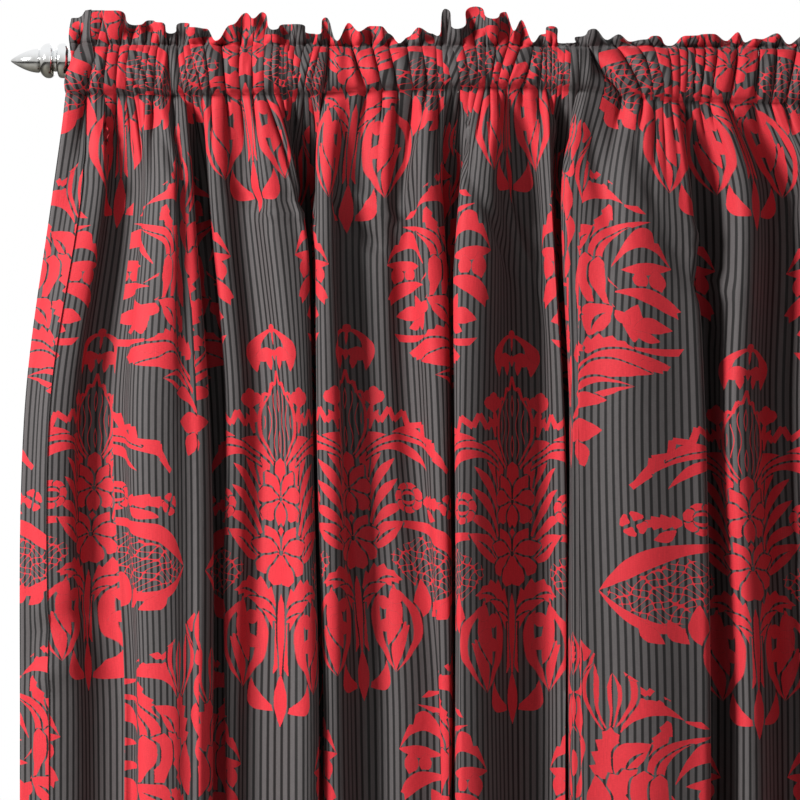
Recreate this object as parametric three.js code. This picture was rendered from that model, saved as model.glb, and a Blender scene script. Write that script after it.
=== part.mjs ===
// Tape top curtain gathered on its pole: one panel of cloth, the heading tape sewn behind its top,
// and a plain pole with a finial screwed into each end.
// Millimetres, +Z up, +X along the pole, -Y is the room side. The origin is the middle of the pole's axis.
import * as THREE from 'three';

// Pole and finials
const POLE_RADIUS = 14;
const POLE_LENGTH = 946;
const PART_GAP = 0.3;
const ROUND_SIDES = 40;

// Cloth
const CLOTH_THICKNESS = 1.4;
const TAPE_THICKNESS = 1.2;
const HEADER_WIDTH = 944;
const FRILL_TOP = 54;
const UPPER_STITCH = 19.5;
const LOWER_STITCH = -41;
const HEM = -2121;
const HANGING_PLANE = -4;

// The mesh has one column on each crest and each hollow of the header's gathers.
const COLUMNS = 118;
const COLUMN_PITCH = HEADER_WIDTH / COLUMNS;
const GATHER_DEPTH = 4.4;
const GATHER_FADE = 45;
const FRILL_DEPTH = 10;
const FRILL_PERIOD = 4.6;
const PLEAT_DEPTH = 6;
const PLEAT_PERIOD = 5;
const PLEAT_GROWTH = 30;
const PLEAT_FADE = 110;
const FOLD_GROWTH = 85;

// The heights at which the fold table places each fold, from the lower stitching to the hem.
const FOLD_HEIGHTS = { head: LOWER_STITCH, top: -160, mid: -425, low: -800, hem: HEM };

// The big folds, left to right, one row for each crest and each hollow between the two side edges.
// flat: how far along the flat cloth. head to hem: how far right of the header's left end it hangs, at each
// fold height. front and frontLow: how far it stands out into the room, above and below.
const FOLDS = [
  { name: 'left edge', flat: 0, head: 0, top: -19, mid: -53, low: -58, hem: -60, front: 12, frontLow: 10 },
  { name: 'hem crest', flat: 52, head: 32, top: 26, mid: -12, low: -12, hem: -16, front: 22, frontLow: 20 },
  { name: 'hollow 1', flat: 138, head: 62, top: 61, mid: 32, low: 50, hem: 44, front: -14, frontLow: -10 },
  { name: 'crest 1', flat: 265, head: 108, top: 118, mid: 108, low: 114, hem: 110, front: 44, frontLow: 42 },
  { name: 'crest 1b', flat: 330, head: 132, top: 140, mid: 156, low: 158, hem: 154, front: 32, frontLow: 30 },
  { name: 'hollow 2', flat: 394, head: 148, top: 158, mid: 178, low: 184, hem: 180, front: -26, frontLow: -26 },
  { name: 'crest 2a', flat: 458, head: 172, top: 178, mid: 200, low: 192, hem: 190, front: 12, frontLow: 0 },
  { name: 'hollow 2a', flat: 495, head: 200, top: 206, mid: 228, low: 219, hem: 216, front: -4, frontLow: -16 },
  { name: 'crest 2', flat: 552, head: 228, top: 248, mid: 272, low: 282, hem: 274, front: 28, frontLow: 34 },
  { name: 'hollow 3', flat: 735, head: 286, top: 288, mid: 294, low: 302, hem: 304, front: -56, frontLow: -54 },
  { name: 'crest 3', flat: 835, head: 310, top: 306, mid: 312, low: 318, hem: 332, front: 26, frontLow: 20 },
  { name: 'hollow 3a', flat: 888, head: 343, top: 331, mid: 338, low: 358, hem: 362, front: -22, frontLow: -30 },
  { name: 'crest 3a', flat: 933, head: 377, top: 372, mid: 379, low: 401, hem: 398, front: -12, frontLow: -14 },
  { name: 'hollow 3b', flat: 968, head: 408, top: 398, mid: 408, low: 437, hem: 428, front: -24, frontLow: -22 },
  { name: 'crest 4a', flat: 1018, head: 437, top: 430, mid: 444, low: 454, hem: 450, front: 14, frontLow: 10 },
  { name: 'tuck 4', flat: 1115, head: 466, top: 456, mid: 458, low: 461, hem: 462, front: -44, frontLow: -44 },
  { name: 'crest 4', flat: 1205, head: 497, top: 480, mid: 470, low: 470, hem: 478, front: 40, frontLow: 42 },
  { name: 'hollow 4', flat: 1320, head: 538, top: 552, mid: 560, low: 562, hem: 560, front: -36, frontLow: -34 },
  { name: 'crest 4b', flat: 1365, head: 566, top: 574, mid: 590, low: 594, hem: 588, front: 8, frontLow: 10 },
  { name: 'tuck 5', flat: 1475, head: 593, top: 584, mid: 594, low: 597, hem: 596, front: -50, frontLow: -50 },
  { name: 'crest 5', flat: 1583, head: 622, top: 600, mid: 602, low: 603, hem: 604, front: 28, frontLow: 30 },
  { name: 'hollow 5', flat: 1615, head: 650, top: 626, mid: 614, low: 619, hem: 622, front: 32, frontLow: 34 },
  { name: 'crest 6', flat: 1673, head: 694, top: 684, mid: 674, low: 684, hem: 676, front: 44, frontLow: 46 },
  { name: 'crest 6a', flat: 1736, head: 722, top: 737, mid: 750, low: 757, hem: 748, front: 26, frontLow: 28 },
  { name: 'hollow 6', flat: 1784, head: 744, top: 755, mid: 766, low: 774, hem: 764, front: -44, frontLow: -44 },
  { name: 'crest 7', flat: 1832, head: 772, top: 804, mid: 799, low: 814, hem: 806, front: 16, frontLow: 14 },
  { name: 'hollow 7', flat: 1900, head: 818, top: 858, mid: 857, low: 871, hem: 862, front: -46, frontLow: -46 },
  { name: 'crest 8', flat: 1962, head: 857, top: 892, mid: 906, low: 914, hem: 910, front: 26, frontLow: 26 },
  { name: 'hollow 8', flat: 2030, head: 900, top: 924, mid: 946, low: 956, hem: 958, front: -24, frontLow: -24 },
  { name: 'right edge', flat: 2100, head: 944, top: 964, mid: 998, low: 1003, hem: 1006, front: 14, frontLow: 12 },
];

// The header's rows: the cloth passes in front of the pole and the tape behind it.
// y is where the layer lies, gather is how much of the gathers' depth it takes there.
const FRONT_BAND = [
  { z: UPPER_STITCH, y: -2, gather: 1 },
  { z: 13.5, y: -18, gather: 1 },
  { z: 0, y: -23.5, gather: 1 },
  { z: -17, y: -18, gather: 1 },
  { z: LOWER_STITCH, y: HANGING_PLANE, gather: 1 },
];
const TAPE_BAND = [
  { z: 17.5, y: 2.6, gather: 1 },
  { z: 12, y: 20.5, gather: 0.6 },
  { z: -12, y: 22, gather: 0.6 },
  { z: -39, y: 1.5, gather: 1 },
];
const FRILL_ROWS = [1, 0.5];
const BODY_HEIGHTS = [-64, -100, -160, -250, -425, -640, -900, -1400, HEM];

// Half the outline of a finial: how far out from the pole's end, and the radius there.
const FINIAL_OUTLINE = [
  { out: 0, radius: 18.5 },
  { out: 2, radius: 20.4 },
  { out: 6.5, radius: 21 },
  { out: 11, radius: 20.2 },
  { out: 13, radius: 17.5 },
  { out: 13.4, radius: 13 },
  { out: 17.2, radius: 13 },
  { out: 17.8, radius: 17.2 },
  { out: 20, radius: 20 },
  { out: 24, radius: 21 },
  { out: 28, radius: 20.2 },
  { out: 32, radius: 17.2 },
  { out: 34.4, radius: 13.6 },
  { out: 36, radius: 14.4 },
  { out: 42, radius: 13.9 },
  { out: 50, radius: 11.7 },
  { out: 58, radius: 8.2 },
  { out: 65, radius: 4.2 },
  { out: 69, radius: 1.4 },
];
const FINIAL_LENGTH = 70;

const mix = (a, b, t) => a + (b - a) * t;

// A smooth curve through one fold's places at the fold heights.
const HEIGHT_NAMES = Object.keys(FOLD_HEIGHTS);
function alongDrop(fold, z) {
  const last = HEIGHT_NAMES.length - 1;
  const height = (i) => FOLD_HEIGHTS[HEIGHT_NAMES[i]];
  const place = (i) => fold[HEIGHT_NAMES[i]];
  const slope = (i, j) => (place(j) - place(i)) / (height(j) - height(i));
  let k = 0;
  while (k < last - 1 && z < height(k + 1)) k += 1;
  const run = height(k + 1) - height(k);
  const t = (z - height(k)) / run;
  const startSlope = slope(Math.max(k - 1, 0), k + 1);
  const endSlope = slope(k, Math.min(k + 2, last));
  const along = mix(place(k), place(k + 1), t * t * (3 - 2 * t));
  return along + run * t * (1 - t) * ((1 - t) * startSlope - t * endSlope);
}

// How far a fold stands into the room, from nothing at the stitching to its full depth below.
function standsOut(fold, z) {
  const lower = THREE.MathUtils.smoothstep(-z, -FOLD_HEIGHTS.mid, -FOLD_HEIGHTS.low);
  return mix(fold.front, fold.frontLow, lower) * grownBy(z);
}

function grownBy(z) {
  return 1 - Math.exp((z - LOWER_STITCH) / FOLD_GROWTH);
}

// The cloth below the header. Between a crest and the next hollow it swings back in a rounded wall,
// which bulges sideways by the cloth that the distance between them doesn't take up.
function bodyPoint(column, z) {
  const head = column * COLUMN_PITCH;
  let k = 0;
  while (k < FOLDS.length - 2 && head > FOLDS[k + 1].head) k += 1;
  const [left, right] = [FOLDS[k], FOLDS[k + 1]];
  const t = (head - left.head) / (right.head - left.head);
  const start = alongDrop(left, z);
  const run = alongDrop(right, z) - start;
  const spare = Math.max(0, right.flat - left.flat - run);
  const bulge = Math.min(spare / (2 * Math.PI), 0.7 * run - 2) * grownBy(z);
  const front = mix(standsOut(left, z), standsOut(right, z), (1 - Math.cos(Math.PI * t)) / 2);
  const below = z - LOWER_STITCH;
  const gather = GATHER_DEPTH * Math.cos(Math.PI * column) * Math.exp(below / GATHER_FADE);
  const pleatShare = (1 - Math.exp(below / PLEAT_GROWTH)) * Math.exp(below / PLEAT_FADE);
  const pleat = PLEAT_DEPTH * pleatShare * Math.cos((2 * Math.PI * column) / PLEAT_PERIOD);
  const x = start + run * t + bulge * Math.sin(2 * Math.PI * t);
  return new THREE.Vector3(x - HEADER_WIDTH / 2, HANGING_PLANE - front + gather + pleat, z);
}

// One row of the gathered band, in front of the pole or behind it.
function bandPoint(column, { z, y, gather }) {
  const zigzag = gather * GATHER_DEPTH * Math.cos(Math.PI * column);
  return new THREE.Vector3(column * COLUMN_PITCH - HEADER_WIDTH / 2, y + zigzag, z);
}

// The frill above the upper stitching opens out into wider waves, with an uneven top.
function frillPoint(column, share) {
  const head = column * COLUMN_PITCH;
  const top = FRILL_TOP + 5 * Math.sin(head / 16 + 1) + 4 * Math.sin(head / 7 + 2);
  const wave = Math.sin((2 * Math.PI * column) / FRILL_PERIOD + Math.sin(head / 60));
  const gather = GATHER_DEPTH * (1 - share) * Math.cos(Math.PI * column);
  const y = FRONT_BAND[0].y + gather + FRILL_DEPTH * share * wave;
  return new THREE.Vector3(head - HEADER_WIDTH / 2, y, mix(UPPER_STITCH, top, share));
}

// A closed sheet of the given thickness around a grid of points, rows from the top down.
function sheet(rows, thickness) {
  const down = rows.length;
  const across = rows[0].length;
  const at = (i, j) => rows[THREE.MathUtils.clamp(i, 0, down - 1)][THREE.MathUtils.clamp(j, 0, across - 1)];
  const corners = { front: [], back: [] };
  for (let i = 0; i < down; i += 1) {
    for (let j = 0; j < across; j += 1) {
      const acrossStep = at(i, j + 1).clone().sub(at(i, j - 1));
      const downStep = at(i + 1, j).clone().sub(at(i - 1, j));
      const outward = downStep.cross(acrossStep).normalize().multiplyScalar(thickness / 2);
      corners.front.push(at(i, j).clone().add(outward));
      corners.back.push(at(i, j).clone().sub(outward));
    }
  }
  const layer = down * across;
  const index = [];
  const quad = (a, b, c, d) => index.push(a, b, c, a, c, d);
  for (let i = 0; i + 1 < down; i += 1) {
    for (let j = 0; j + 1 < across; j += 1) {
      const a = i * across + j;
      quad(a, a + across, a + across + 1, a + 1);
      quad(layer + a, layer + a + 1, layer + a + across + 1, layer + a + across);
    }
    const [left, right] = [i * across, i * across + across - 1];
    quad(left, layer + left, layer + left + across, left + across);
    quad(right, right + across, layer + right + across, layer + right);
  }
  for (let j = 0; j + 1 < across; j += 1) {
    const [top, hem] = [j, (down - 1) * across + j];
    quad(top, top + 1, layer + top + 1, layer + top);
    quad(hem, layer + hem, layer + hem + 1, hem + 1);
  }
  const geometry = new THREE.BufferGeometry().setFromPoints([...corners.front, ...corners.back]);
  geometry.setIndex(index);
  return geometry;
}

function node(name, geometry, material) {
  const mesh = new THREE.Mesh(geometry, material);
  mesh.name = name;
  return mesh;
}

function curtainPanel(cloth) {
  const columns = Array.from({ length: COLUMNS + 1 }, (_, column) => column);
  const rows = [
    ...FRILL_ROWS.map((share) => columns.map((column) => frillPoint(column, share))),
    ...FRONT_BAND.map((row) => columns.map((column) => bandPoint(column, row))),
    ...BODY_HEIGHTS.map((z) => columns.map((column) => bodyPoint(column, z))),
  ];
  return node('curtain_panel', sheet(rows, CLOTH_THICKNESS), cloth);
}

function headingTape(tape) {
  const columns = Array.from({ length: COLUMNS + 1 }, (_, column) => column);
  const rows = TAPE_BAND.map((row) => columns.map((column) => bandPoint(column, row)));
  return node('heading_tape', sheet(rows, TAPE_THICKNESS), tape);
}

function pole(metal) {
  const mesh = node('pole', new THREE.CylinderGeometry(POLE_RADIUS, POLE_RADIUS, POLE_LENGTH, ROUND_SIDES), metal);
  mesh.rotation.z = Math.PI / 2;
  return mesh;
}

// The outline turned about the pole's axis, pointing out along +X or -X.
function finial(name, side, metal) {
  const outline = FINIAL_OUTLINE.map(({ out, radius }) => new THREE.Vector2(radius, out));
  outline.unshift(new THREE.Vector2(0, 0));
  outline.push(new THREE.Vector2(0, FINIAL_LENGTH));
  const mesh = node(name, new THREE.LatheGeometry(outline, ROUND_SIDES), metal);
  mesh.rotation.z = (-side * Math.PI) / 2;
  mesh.position.x = side * (POLE_LENGTH / 2 + PART_GAP);
  return mesh;
}

const cloth = new THREE.MeshStandardMaterial({ color: 0x8e2a30, roughness: 0.7, metalness: 0, side: THREE.DoubleSide });
const tapeWhite = new THREE.MeshStandardMaterial({ color: 0xe8e6e0, roughness: 0.8, metalness: 0 });
const chrome = new THREE.MeshStandardMaterial({ color: 0xd4d6d8, roughness: 0.12, metalness: 1 });

const curtain = new THREE.Group();
curtain.name = 'tape_top_curtain';
curtain.add(
  curtainPanel(cloth),
  headingTape(tapeWhite),
  pole(chrome),
  finial('finial_left', -1, chrome),
  finial('finial_right', 1, chrome),
);

export default curtain;
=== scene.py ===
import math
from collections import namedtuple

import bmesh
import bpy
import numpy as np
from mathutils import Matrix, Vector


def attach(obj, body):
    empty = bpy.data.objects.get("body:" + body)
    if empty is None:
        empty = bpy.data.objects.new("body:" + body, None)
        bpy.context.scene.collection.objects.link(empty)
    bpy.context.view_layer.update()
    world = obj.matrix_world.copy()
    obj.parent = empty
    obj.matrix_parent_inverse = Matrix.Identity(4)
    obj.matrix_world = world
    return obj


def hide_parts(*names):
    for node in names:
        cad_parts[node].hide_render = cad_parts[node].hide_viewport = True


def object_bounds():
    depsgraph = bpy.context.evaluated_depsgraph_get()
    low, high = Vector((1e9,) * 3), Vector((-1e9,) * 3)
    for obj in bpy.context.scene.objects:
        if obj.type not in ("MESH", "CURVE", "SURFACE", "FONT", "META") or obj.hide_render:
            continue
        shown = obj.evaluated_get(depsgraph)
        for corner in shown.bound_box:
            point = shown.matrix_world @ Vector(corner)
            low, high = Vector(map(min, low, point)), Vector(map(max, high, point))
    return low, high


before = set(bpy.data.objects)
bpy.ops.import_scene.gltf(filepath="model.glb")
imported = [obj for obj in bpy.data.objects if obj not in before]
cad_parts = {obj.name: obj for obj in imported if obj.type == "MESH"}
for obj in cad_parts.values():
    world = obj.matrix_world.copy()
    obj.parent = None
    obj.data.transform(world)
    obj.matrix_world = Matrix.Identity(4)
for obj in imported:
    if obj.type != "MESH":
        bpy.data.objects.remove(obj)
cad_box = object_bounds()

# The curtain is worked out in millimetres, as in the part's source, and its meshes are made in metres.
MM = 0.001
ORIGIN_TO_LEFT = -472.0

# ------ Sizes ------
HEADER_WIDTH = 944.0
CLOTH_WIDTH = 2100.0
COLUMN_STEP = 3.5
SIDE_HEM = 42.0
BOTTOM_HEM = 80.0
HEM_GAP = 2.2
FRILL_HEM_GAP = 1.0
HEM_ROUND = 1.5
HEM = -2121.0
FRILL_FOOT = 20.0
LOWER_STITCH = -41.0
HANGING_PLANE = -4.0
FOLD_GROWTH = 85.0
FRONT_OF_POLE = 21.0

Fold = namedtuple("Fold", "name flat head top mid low hem front front_low")
FOLD_HEIGHTS = np.array([LOWER_STITCH, -160.0, -425.0, -800.0, HEM])
FOLDS = [Fold(*row) for row in [
    ("left edge", 0, 0, -19, -53, -58, -60, 12, 10),
    ("hem crest", 52, 32, 26, -12, -12, -16, 22, 20),
    ("hollow 1", 138, 62, 61, 32, 50, 44, -14, -10),
    ("crest 1", 265, 108, 118, 108, 114, 110, 44, 42),
    ("crest 1b", 330, 132, 140, 156, 158, 154, 32, 30),
    ("hollow 2", 394, 148, 158, 178, 184, 180, -26, -26),
    ("crest 2a", 458, 172, 178, 200, 192, 190, 12, 0),
    ("hollow 2a", 495, 200, 206, 228, 219, 216, -4, -16),
    ("crest 2", 552, 228, 248, 272, 282, 274, 28, 34),
    ("hollow 3", 735, 286, 288, 294, 302, 304, -56, -54),
    ("crest 3", 835, 310, 306, 312, 318, 332, 26, 20),
    ("hollow 3a", 888, 343, 331, 338, 358, 362, -22, -30),
    ("crest 3a", 933, 377, 372, 379, 401, 398, -12, -14),
    ("hollow 3b", 968, 408, 398, 408, 437, 428, -24, -22),
    ("crest 4a", 1018, 437, 430, 444, 454, 450, 14, 10),
    ("tuck 4", 1115, 466, 456, 458, 461, 462, -44, -44),
    ("crest 4", 1205, 497, 480, 470, 470, 478, 40, 42),
    ("hollow 4", 1320, 538, 552, 560, 562, 560, -36, -34),
    ("crest 4b", 1365, 566, 574, 590, 594, 588, 8, 10),
    ("tuck 5", 1475, 593, 584, 594, 597, 596, -50, -50),
    ("crest 5", 1583, 622, 600, 602, 603, 604, 28, 30),
    ("hollow 5", 1615, 650, 626, 614, 619, 622, 32, 34),
    ("crest 6", 1673, 694, 684, 674, 684, 676, 44, 46),
    ("crest 6a", 1736, 722, 737, 750, 757, 748, 26, 28),
    ("hollow 6", 1784, 744, 755, 766, 774, 764, -44, -44),
    ("crest 7", 1832, 772, 804, 799, 814, 806, 16, 14),
    ("hollow 7", 1900, 818, 858, 857, 871, 862, -46, -46),
    ("crest 8", 1962, 857, 892, 906, 914, 910, 26, 26),
    ("hollow 8", 2030, 900, 924, 946, 956, 958, -24, -24),
    ("right edge", 2100, 944, 964, 998, 1003, 1006, 14, 12),
]]
fold_rows = np.array([fold[1:] for fold in FOLDS], float)
FLAT, FOLD_PLACES, FOLD_FRONTS = fold_rows[:, 0], fold_rows[:, 1:6], fold_rows[:, 6:]
HEAD = FOLD_PLACES[:, 0]

# The two lines of stitching sag a little along the header.
StitchLine = namedtuple("StitchLine", "head upper lower")
STITCH_LINES = [StitchLine(*row) for row in [
    (0, 18.5, -40), (130, 18, -42), (250, 17.5, -41), (390, 16.5, -36), (470, 16.5, -33), (540, 16.5, -33),
    (610, 16, -36), (665, 16, -44), (720, 15.6, -49), (860, 15.6, -51), (944, 15.6, -51),
]]

# The frill's top edge, left to right: one row for each turn of its waves.
# head: along the header. top: height. out: how far it leans into the room.
Turn = namedtuple("Turn", "head top out")
FRILL = [Turn(*row) for row in [
    (10, 50, 2), (24, 59, 8), (58, 58, 12), (77, 44, -8), (84, 42, 6), (94, 50, -9), (110, 44, 12),
    (121, 32, 3), (134, 47, -9), (150, 38, 13), (163, 40, -9), (176, 22, 12), (194, 42, 6), (211, 59, -9),
    (220, 50, 4), (230, 60, -10), (244, 35, 13), (258, 45, -8), (274, 42, 11), (290, 34, -9),
    (298, 30, 10), (307, 53, -6), (321, 22, 11), (334, 47, -9), (347, 33, 12), (360, 43, -8), (374, 40, 8),
    (384, 33, -7), (395, 19, 10), (406, 30, -8), (418, 38, 11), (434, 34, -8), (441, 28, 10),
    (450, 63, -4), (463, 36, 13), (487, 67, -11), (507, 48, 14), (523, 60, -8), (532, 34, 11),
    (542, 50, -6), (555, 20, 11), (566, 33, -8), (577, 40, 9), (590, 22, -7), (601, 20, 8), (612, 30, -6),
    (628, 36, 14), (645, 26, -7), (657, 30, 10), (673, 24, -7), (686, 24, 8), (702, 28, 12), (720, 19, -8),
    (738, 28, 12), (770, 30, 13), (789, 25, -8), (800, 33, 8), (811, 23, -7), (820, 25, 9), (831, 27, -7),
    (846, 31, 11), (864, 21, -8), (880, 30, 11), (896, 34, -8), (910, 27, 11), (926, 36, -5), (938, 34, 4),
]]

# Creases pressed or dragged into the cloth: the line that each runs along, its width and its depth.
Crease = namedtuple("Crease", "flat_a z_a flat_b z_b width depth")
CREASES = [Crease(*row) for row in [
    (505, -166, 640, -172, 9, 5), (520, -188, 610, -181, 7, -4), (470, -140, 560, -205, 10, 4),
    (690, -60, 770, -210, 11, 6), (735, -60, 820, -230, 10, -5), (850, -160, 945, -235, 10, 7),
    (870, -140, 975, -205, 8, -5), (60, -82, 130, -96, 8, 4), (20, -120, 90, -150, 9, -3),
    (1700, -210, 1800, -330, 12, 7), (1730, -190, 1830, -290, 9, -5), (1530, -70, 1580, -150, 8, 4),
    (1640, -60, 1700, -190, 12, 5), (1150, -60, 1230, -150, 10, 4), (250, -60, 310, -190, 11, 4),
    (330, -70, 270, -170, 10, -4), (1960, -70, 1900, -190, 11, 5), (1380, -55, 1470, -160, 10, -4),
    (157.5, -600, 157.5, -2000, 5, -7), (329, -420, 329, -1900, 5, -5), (1130, -60, 1300, -260, 10, 6),
    (1240, -60, 1340, -300, 9, -5), (1590, -60, 1660, -260, 9, 5), (560, -60, 600, -260, 8, -5),
    (420, -60, 380, -240, 8, 5), (1010, -60, 960, -220, 9, -5), (20, -690, 120, -640, 12, 5),
    (10, -760, 90, -700, 10, -4), (1850, -560, 1930, -600, 14, 3),
]]

# ------ The damask: half of each motif, drawn as leaves, and mirrored ------
STRIPE_PITCH = 8.0
REPEAT_WIDTH = 480.0
REPEAT_HEIGHT = 612.0

# How wide each kind of leaf is along its length, as a share of its half-width.
LEAF_OUTLINES = {
    "leaf": [(0, 0.10), (0.2, 0.62), (0.5, 1.0), (0.8, 0.58), (1, 0)],
    "blade": [(0, 0.30), (0.3, 0.55), (0.66, 1.0), (0.86, 0.62), (1, 0)],
    "petal": [(0, 0.16), (0.3, 0.55), (0.62, 1.0), (0.84, 0.9), (0.93, 0.5), (1, 0)],
    "bar": [(0, 1.0), (0.5, 1.0), (1, 1.0)],
    "round": [(0, 0), (0.06, 0.5), (0.25, 0.9), (0.5, 1.0), (0.75, 0.9), (0.94, 0.5), (1, 0)],
    "saw": [(0, 0.3), (0.2, 0.9), (0.24, 0.55), (0.46, 1.0), (0.5, 0.6), (0.7, 0.85), (0.74, 0.45),
            (0.88, 0.5), (0.91, 0.22), (1, 0)],
}

TOOTHED = ("saw", "bar")
SCRIBBLED = ("field", "bud")

# A leaf runs from its base x, y to its tip, in millimetres right of the motif's axis and above its foot.
# bend: how far it bows to its left, as a share of its length. gap: the dark line around it. hollow: the
# share of its width left open, and past 1 it cuts a gap. Later leaves lie over earlier ones.
Leaf = namedtuple("Leaf", "kind x y tip_x tip_y width bend gap hollow", defaults=(0, 3, 0))
# FULLNESS: how much wider each leaf is painted than its row says. GAP_SHARE: how much of each gap is left.
FULLNESS = 1.08
GAP_SHARE = 0.9
ROSETTE_CENTRE = 4.0


def leaf_rows(*rows):
    return [Leaf(*row) for row in rows]


def ribbon(width, *corners):
    """A zigzag band through the corners."""
    return [Leaf("bar", *a, *b, width, 0, 0) for a, b in zip(corners, corners[1:])]


def rosette(x, y, petals, length, width, start, gap):
    """Petals around a centre, the first one in the direction start."""
    rows = []
    for i in range(petals):
        angle = math.radians(start + 360 * i / petals)
        cos, sin = math.cos(angle), math.sin(angle)
        base = (x + ROSETTE_CENTRE * cos, y + ROSETTE_CENTRE * sin)
        rows.append(Leaf("petal", *base, x + length * cos, y + length * sin, width, 0, gap))
    return rows


LARGE_MOTIF = leaf_rows(
    # wing: its scribbled field, the bands above and below, and their teeth
    ("field", 52, 178, 186, 160, 37, -0.02), ("blade", 46, 218, 192, 164, 10, 0.12),
    ("leaf", 192, 164, 90, 122, 6, 0.16, 0), ("leaf", 152, 132, 126, 104, 8, 0.1, 0),
    ("leaf", 122, 132, 102, 104, 8, 0.1, 0), ("leaf", 92, 150, 76, 94, 11, 0.12),
    # leaf hanging beside the pendant, with a smaller one inside it
    ("leaf", 34, 148, 48, 32, 34, 0.1, 3, 0.62), ("leaf", 70, 92, 48, 34, 8, -0.1, 0),
    ("leaf", 66, 96, 54, 64, 7, -0.1, 0), ("leaf", 52, 142, 38, 64, 11, 0.06),
    ("leaf", 44, 120, 66, 130, 9, 0.1, 0), ("leaf", 42, 108, 62, 94, 8, -0.1, 0),
    ("leaf", 46, 120, 24, 120, 8, 0.1, 0), ("leaf", 40, 98, 25, 82, 7, 0.1, 0),
    # crown over it, stem and pendant
    ("saw", 8, 130, 66, 148, 16, 0.22), ("leaf", 26, 142, 58, 150, 1.6, 0.14, 0, 1.2),
    ("leaf", 5, 108, 42, 142, 6, 0.16), ("leaf", 5, 92, 24, 128, 4, 0.16), ("leaf", 9, 54, 8, 116, 5, 0.1),
    ("petal", 0, 44, 0, 150, 4, 0, 2), ("leaf", 1, 12, 34, 46, 9, -0.32), ("leaf", 0, 54, 0, -8, 7),
    # leaves that fan out beside the flowers
    ("leaf", 18, 182, 74, 222, 12, 0.05), ("leaf", 30, 191, 62, 214, 1.8, 0.05, 0, 1.2),
    ("blade", 24, 206, 76, 244, 6, 0.1), ("blade", 26, 218, 70, 276, 5.5, 0.1),
    ("blade", 24, 234, 68, 302, 5.5, 0.1), ("blade", 24, 254, 54, 316, 5, 0.12),
    ("leaf", 26, 276, 34, 326, 7, 0.12),
    # ring-shaped flower, and the clover on its stem
    *rosette(84, 252, 7, 20, 7, 70, gap=2), ("round", 74, 252, 94, 252, 8, 0, 3, 0.5),
    ("saw", 104, 247, 144, 243, 9, 0.05, 2), ("leaf", 110, 238, 132, 226, 6, -0.1, 2),
    *rosette(152, 244, 4, 15, 7, 20, gap=1),
    # large outlined leaf with a zigzag edge, and the arcs inside it
    ("leaf", 6, 290, 60, 330, 8, 0.22), ("blade", 26, 300, 116, 286, 6, 0.26),
    ("blade", 28, 310, 152, 287, 7, 0.24), ("leaf", 66, 334, 118, 318, 5, 0.18, 2),
    *ribbon(3.4, (22, 346), (32, 338), (41, 358), (50, 347), (62, 364), (70, 349), (86, 360),
            (92, 342), (110, 344), (112, 326), (130, 322), (132, 304), (152, 287)),
    # bud with its scribbles and collar, and the clover beside it
    ("leaf", 0, 296, 0, 402, 28, 0, 3, 0.85), ("bud", 0, 304, 0, 394, 21, 0, 0),
    *ribbon(1.8, (26, 368), (22, 384), (15, 382), (11, 396), (5, 394), (0, 410)),
    ("leaf", 28, 350, 38, 372, 4, -0.1, 0), ("petal", 37, 367, 28, 385, 6.5, 0, 0),
    ("petal", 38, 367, 40, 391, 7, 0, 0), ("petal", 39, 367, 53, 384, 6.5, 0, 0),
    ("leaf", 28, 352, 48, 362, 4, -0.2, 0),
    # drooping leaf over the bud
    ("blade", 5, 459, 27, 409, 8.5, 0.24), ("leaf", 20, 446, 33, 426, 5, 0.1, 0),
    ("leaf", 29, 424, 0, 433, 7.5, -0.06, 0), ("leaf", 11, 434, 9, 411, 4.5, 0, 0),
    ("leaf", 0, 436, 0, 422, 3, 0, 0), ("leaf", 0, 462, 0, 440, 1.8, 0, 0),
    ("round", 0, 455, 0, 466, 5, 0, 0),
    # two flowers on the axis
    ("petal", 0, 262, 0, 308, 9), ("leaf", 2, 262, 22, 292, 8), ("petal", 3, 260, 30, 266, 9),
    ("petal", 2, 258, 24, 236, 9), ("leaf", 0, 256, 4, 228, 6), ("leaf", 0, 200, 0, 228, 7),
    ("leaf", 2, 200, 22, 228, 8), ("leaf", 3, 198, 38, 208, 9), ("petal", 3, 196, 30, 174, 9),
    ("petal", 1, 194, 10, 158, 9),
)
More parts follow.
